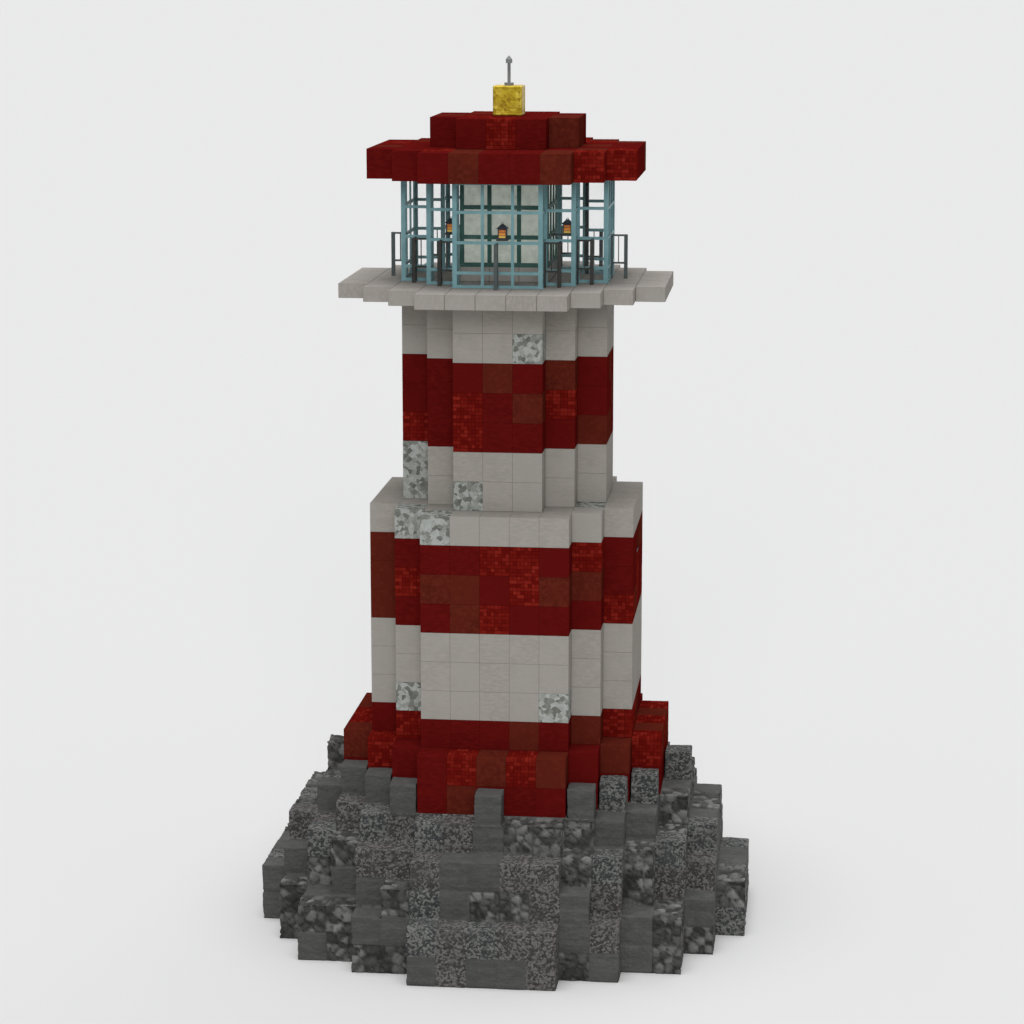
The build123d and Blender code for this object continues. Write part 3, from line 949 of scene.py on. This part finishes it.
def buildPanes():
    low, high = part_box("lens_cage")
    middle = (low + high) / 2
    half = (high.x - low.x) / 2
    size = 1.0 - lens["bar"] + lens["overlap"]
    nudge = 1.0 - lens["outer"] / 2
    bm = startMesh()
    for turn in range(4):
        rotate = Matrix.Rotation(turn * pi / 2, 4, "Z")
        front = rotate.to_3x3() @ Vector((0, -1, 0))
        for column in (-1, 0, 1):
            for row in (-1, 0, 1):
                width, tall = size - lens["outer"] * abs(column), size - lens["outer"] * abs(row)
                spot = Vector((column * nudge, lens["sunk"] - half, low.z + 1.5 + row * nudge))
                matrix = Matrix.Translation((middle.x, middle.y, 0)) @ rotate @ Matrix.Translation(spot)
                matrix = matrix @ Matrix.Diagonal((width, lens["thick"], tall, 1.0))
                verts = bmesh.ops.create_cube(bm, size=1.0, matrix=matrix)["verts"]
                pane = next(face for face in facesOf(verts) if face.normal.dot(front) > 0.9)
                for step in lens["insets"]:
                    bmesh.ops.inset_individual(bm, faces=[pane], thickness=step, depth=0.0)
                    for vert in pane.verts:
                        vert.co += front * lens["dome"] * step
    bm.normal_update()
    finishPiece(bm, "lensPanes", [metals["frosted"]], ("lens_panels",))


buildPanes()


lampLook = {
    "reach": 2.0,
    # each tapered plate: what it is measured from, its foot and top above that, its width at both
    "plates": (
        ("foot", 0.0, 0.035, 0.30, 0.27),
        ("head", -0.03, 0.0, 0.258, 0.30),
        ("cap", 0.0, 0.025, 0.38, 0.3572),
        ("cap", 0.025, 0.13, 0.342, 0.13),
        ("cap", 0.13, 0.155, 0.09, 0.06),
    ),
    "bars": 0.1332,  # from the middle of the lamp to its upright bars
    "barHalf": 0.014,
    "barEnds": (0.03, 0.025),
    "hoops": 0.12,  # from either end of the body
    "hoopReach": 0.14,
    "hoopHalf": 0.006,
    "ring": 0.044,
    "wire": 0.0096,
    "ringDrop": 0.067,  # from the top of the cap to the middle of the ring
    "glassHalf": 0.115,
    "glassEnds": (0.03, 0.02),
    "glassBevel": 0.02,
    "weld": 0.0001,
}
corners = [(across, along) for across in (-1, 1) for along in (-1, 1)]


def addTaper(bm, x, y, low, high, foot, top):
    # a four-sided block that narrows or widens from its foot to its top
    matrix = Matrix.Translation((x, y, (low + high) / 2)) @ Matrix.Rotation(pi / 4, 4, "Z")
    bmesh.ops.create_cone(
        bm, cap_ends=True, segments=4, radius1=foot / 2 ** 0.5, radius2=top / 2 ** 0.5,
        depth=high - low, matrix=matrix,
    )


def addRing(bm, x, y, z):
    # a small circle spun round
    turned = Matrix.Translation((x + lampLook["ring"], y, z)) @ Matrix.Rotation(pi / 2, 4, "X")
    circle = bmesh.ops.create_circle(bm, cap_ends=False, segments=8, radius=lampLook["wire"], matrix=turned)
    verts = circle["verts"]
    edges = list(dict.fromkeys(edge for vert in verts for edge in vert.link_edges))
    bmesh.ops.spin(
        bm, geom=verts + edges, cent=(x, y, z), axis=(0, 1, 0), angle=2 * pi, steps=16, use_merge=True,
    )


def buildLamps():
    foot, head = levelsOf("lamp_bodies")
    cap, tip = levelsOf("lamp_caps")
    levels = {"foot": foot, "head": head, "cap": cap}
    iron, glass = startMesh(), startMesh()
    for turn in range(4):
        x, y = lampLook["reach"] * cos(turn * pi / 2), lampLook["reach"] * sin(turn * pi / 2)
        for start, low, high, footWidth, topWidth in lampLook["plates"]:
            addTaper(iron, x, y, levels[start] + low, levels[start] + high, footWidth, topWidth)
        low, high = foot + lampLook["barEnds"][0], head - lampLook["barEnds"][1]
        reach = (lampLook["barHalf"], lampLook["barHalf"], (high - low) / 2)
        for across, along in corners:
            middle = (x + across * lampLook["bars"], y + along * lampLook["bars"], (low + high) / 2)
            addBar(iron, middle, reach)
        for level in (foot + lampLook["hoops"], head - lampLook["hoops"]):
            for outward in walls:
                reach = [lampLook["hoopReach"], lampLook["hoopReach"], lampLook["hoopHalf"]]
                reach[axisOf(outward)] = lampLook["hoopHalf"]
                addBar(iron, Vector((x, y, level)) + outward * lampLook["bars"], reach)
        addRing(iron, x, y, tip - lampLook["ringDrop"])
        low, high = foot + lampLook["glassEnds"][0], head - lampLook["glassEnds"][1]
        reach = (lampLook["glassHalf"], lampLook["glassHalf"], (high - low) / 2)
        addBar(glass, (x, y, (low + high) / 2), reach)
    bmesh.ops.remove_doubles(iron, verts=list(iron.verts), dist=lampLook["weld"])
    bevelAll(glass, lampLook["glassBevel"], 2)
    for face in glass.faces:
        face.material_index = 1
    joinInto(iron, glass)
    finishPiece(
        iron, "handLamps", [metals["lampIron"], metals["amber"]], ("lamp_bodies", "lamp_caps"),
    )


buildLamps()


gilded = {
    "setIn": 0.002,
    "bevel": 0.035,
    "largest": 0.5,  # only faces over this area get a sunk panel
    "border": 0.05,
    "sunk": 0.012,
    "cuts": 11,
    "dent": 0.008,
    "dentScale": 7.0,
}


def buildGilded():
    low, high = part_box("finial_block")
    margin = gilded["setIn"]
    bm = startMesh()
    addBox(bm, low + Vector((margin, margin, 0)), high - Vector((margin, margin, margin / 2)))
    bevelAll(bm, gilded["bevel"], 3)
    panels = [face for face in bm.faces if face.calc_area() > gilded["largest"] and face.normal.z > -0.5]
    bmesh.ops.inset_individual(bm, faces=panels, thickness=gilded["border"], depth=0.0)
    bmesh.ops.inset_individual(bm, faces=panels, thickness=gilded["sunk"], depth=-gilded["sunk"])
    bmesh.ops.subdivide_edges(bm, edges=edgesOf(panels), cuts=gilded["cuts"], use_grid_fill=True)
    bm.normal_update()
    for vert in bm.verts:
        # only where all is flat, so that the edges stay sharp
        if all(abs(face.normal.dot(vert.normal)) > 0.99 for face in vert.link_faces):
            dent = abs(noise.noise(vert.co * gilded["dentScale"]))
            vert.co -= vert.normal * gilded["dent"] * dent
    finishPiece(bm, "gildedBlock", [metals["gilding"]], ("finial_block",))


buildGilded()


fixings = {
    "post": 0.1,
    "plateHalf": 0.085,
    "plateThick": 0.018,
    "bolt": 0.014,
    "boltSpot": 0.066,  # from the middle of the post
    "rivet": 0.022,
    "rivetLevels": (23.0, 24.0, 25.0),
    "domeTall": 0.55,  # height of a rivet's head for a radius of 1
    "lensRivet": 0.03,
    "lensColumns": (-1.43, -0.5, 0.5, 1.43),
    "lensEdge": 0.07,
}


def addDome(bm, middle, outward, radius):
    turn = outward.to_track_quat("Z", "Y").to_matrix().to_4x4()
    matrix = Matrix.Translation(middle) @ turn @ Matrix.Diagonal((1, 1, fixings["domeTall"], 1.0))
    bmesh.ops.create_icosphere(bm, subdivisions=1, radius=radius, matrix=matrix)


def postPlaces():
    # middles of the lantern's posts: where four corners stand a post's width apart
    width = fixings["post"]
    spots = {(round(v.co.x, 3), round(v.co.y, 3)) for v in nodes["lantern_posts"].data.vertices}
    places = []
    for x, y in sorted(spots):
        farX, farY = round(x + width, 3), round(y + width, 3)
        if {(farX, y), (x, farY), (farX, farY)} <= spots:
            places.append((x + width / 2, y + width / 2))
    return places


def buildLanternFixings():
    # foot plates with bolts, and rivets where the sashes meet the posts
    bm = startMesh()
    foot, _ = levelsOf("lantern_posts")
    half, thick = fixings["plateHalf"], fixings["plateThick"]
    for x, y in postPlaces():
        addBox(bm, (x - half, y - half, foot), (x + half, y + half, foot + thick))
        for across, along in corners:
            spot = (x + across * fixings["boltSpot"], y + along * fixings["boltSpot"], foot + thick)
            addDome(bm, spot, Vector((0, 0, 1)), fixings["bolt"])
        for level in fixings["rivetLevels"]:
            for outward in walls:
                if outward.dot(Vector((x, y, 0))) > 1.0:
                    spot = Vector((x, y, level)) + outward * fixings["post"] / 2
                    addDome(bm, spot, outward, fixings["rivet"])
    finishPiece(bm, "lanternFixings", [metals["glazing"]])


def buildLensRivets():
    bm = startMesh()
    low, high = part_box("lens_cage")
    half = (high.x - low.x) / 2
    levels = (low.z + fixings["lensEdge"], low.z + 1, low.z + 2, high.z - fixings["lensEdge"])
    for turn in range(4):
        rotate = Matrix.Rotation(turn * pi / 2, 4, "Z")
        outward = rotate.to_3x3() @ Vector((0, -1, 0))
        for column in fixings["lensColumns"]:
            for level in levels:
                addDome(bm, rotate @ Vector((column, -half, level)), outward, fixings["lensRivet"])
    finishPiece(bm, "lensRivets", [metals["cage"]])


windows = {
    "wall": 4.5,  # from the axis to the face of the wall
    "barsBack": 0.21,  # from that face in to the middle of the bars
    "middle": 13.5,
    "bar": (0.02, 0.018, 0.018),
    "barReach": 0.41,
    "sillBack": 0.09,
    "sillFoot": 13.0,
    "sill": (0.07, 0.49, 0.0175),
    "bevel": 0.004,
}


def buildWindowBars():
    # a cross of glazing bars and a sill to each window
    bm = startMesh()
    for side in (-1, 1):
        for axis in (1, 2):
            reach = list(windows["bar"])
            reach[axis] = windows["barReach"]
            addBar(bm, (side * (windows["wall"] - windows["barsBack"]), 0.0, windows["middle"]), reach)
        level = windows["sillFoot"] + windows["sill"][2]
        addBar(bm, (side * (windows["wall"] - windows["sillBack"]), 0.0, level), windows["sill"])
    bevelAll(bm, windows["bevel"], 1)
    finishPiece(bm, "windowBars", [metals["frame"]])


buildLanternFixings()
buildLensRivets()
buildWindowBars()
print("lantern details ready")


light = {
    "world": 0.30,
    "sky": (0.985, 0.99, 1.0, 1.0),
    "shownSky": 0.83,  # how bright the sky and the floor look, whatever light they give
    "shownFloor": 0.78,
    "floor": (0.50, 0.50, 0.49, 1.0),
    "floorReach": 12000.0,
    "sheets": 24,  # glass faces in line that light passes; a look along the steps meets 12
    "lamps": {
        "overhead": {"turn": (4, 0, -14), "strength": 1.8, "angle": 36},
        "key": {"turn": (68, 0, 6), "strength": 0.95, "angle": 26},
        "fill": {"turn": (62, 0, 160), "strength": 0.45, "angle": 60},
    },
}


def seenDirectly(tree):
    # 1 where the camera sees a thing, also by way of a gloss or through glass
    path = tree.nodes.new("ShaderNodeLightPath")
    direct, glossy, through = [
        Wire(tree, path.outputs[f"Is {kind} Ray"]) for kind in ("Camera", "Glossy", "Transmission")
    ]
    return direct + glossy + through


def addFloor():
    bm = bmesh.new()
    bmesh.ops.create_grid(bm, x_segments=1, y_segments=1, size=light["floorReach"])
    mesh = bpy.data.meshes.new("floor")
    bm.to_mesh(mesh)
    bm.free()
    finish = Finish("floor")
    shown = (light["shownFloor"],) * 3 + (1.0,)
    colour = finish.blend(seenDirectly(finish.tree), light["floor"], shown)
    mesh.materials.append(finish.close(Base_Color=colour, Roughness=0.95, Specular_IOR_Level=0.0))
    piece = bpy.data.objects.new("floor", mesh)
    scene.collection.objects.link(piece)


def addSun(name, settings):
    data = bpy.data.lights.new(name, "SUN")
    data.energy = settings["strength"]
    data.angle = radians(settings["angle"])
    holder = bpy.data.objects.new(name, data)
    holder.rotation_euler = [radians(angle) for angle in settings["turn"]]
    scene.collection.objects.link(holder)


def addWorld():
    world = bpy.data.worlds.new("world")
    scene.world = world
    world.use_nodes = True
    tree = world.node_tree
    tree.nodes.clear()
    strength = seenDirectly(tree) * (light["shownSky"] - light["world"]) + light["world"]
    background = tree.nodes.new("ShaderNodeBackground")
    background.inputs["Color"].default_value = light["sky"]
    tree.links.new(strength.socket, background.inputs["Strength"])
    output = tree.nodes.new("ShaderNodeOutputWorld")
    tree.links.new(background.outputs[0], output.inputs["Surface"])


addFloor()
for lampName, lamp in light["lamps"].items():
    addSun(lampName, lamp)
addWorld()
scene.cycles.transparent_max_bounces = light["sheets"]
print("floor and light ready")
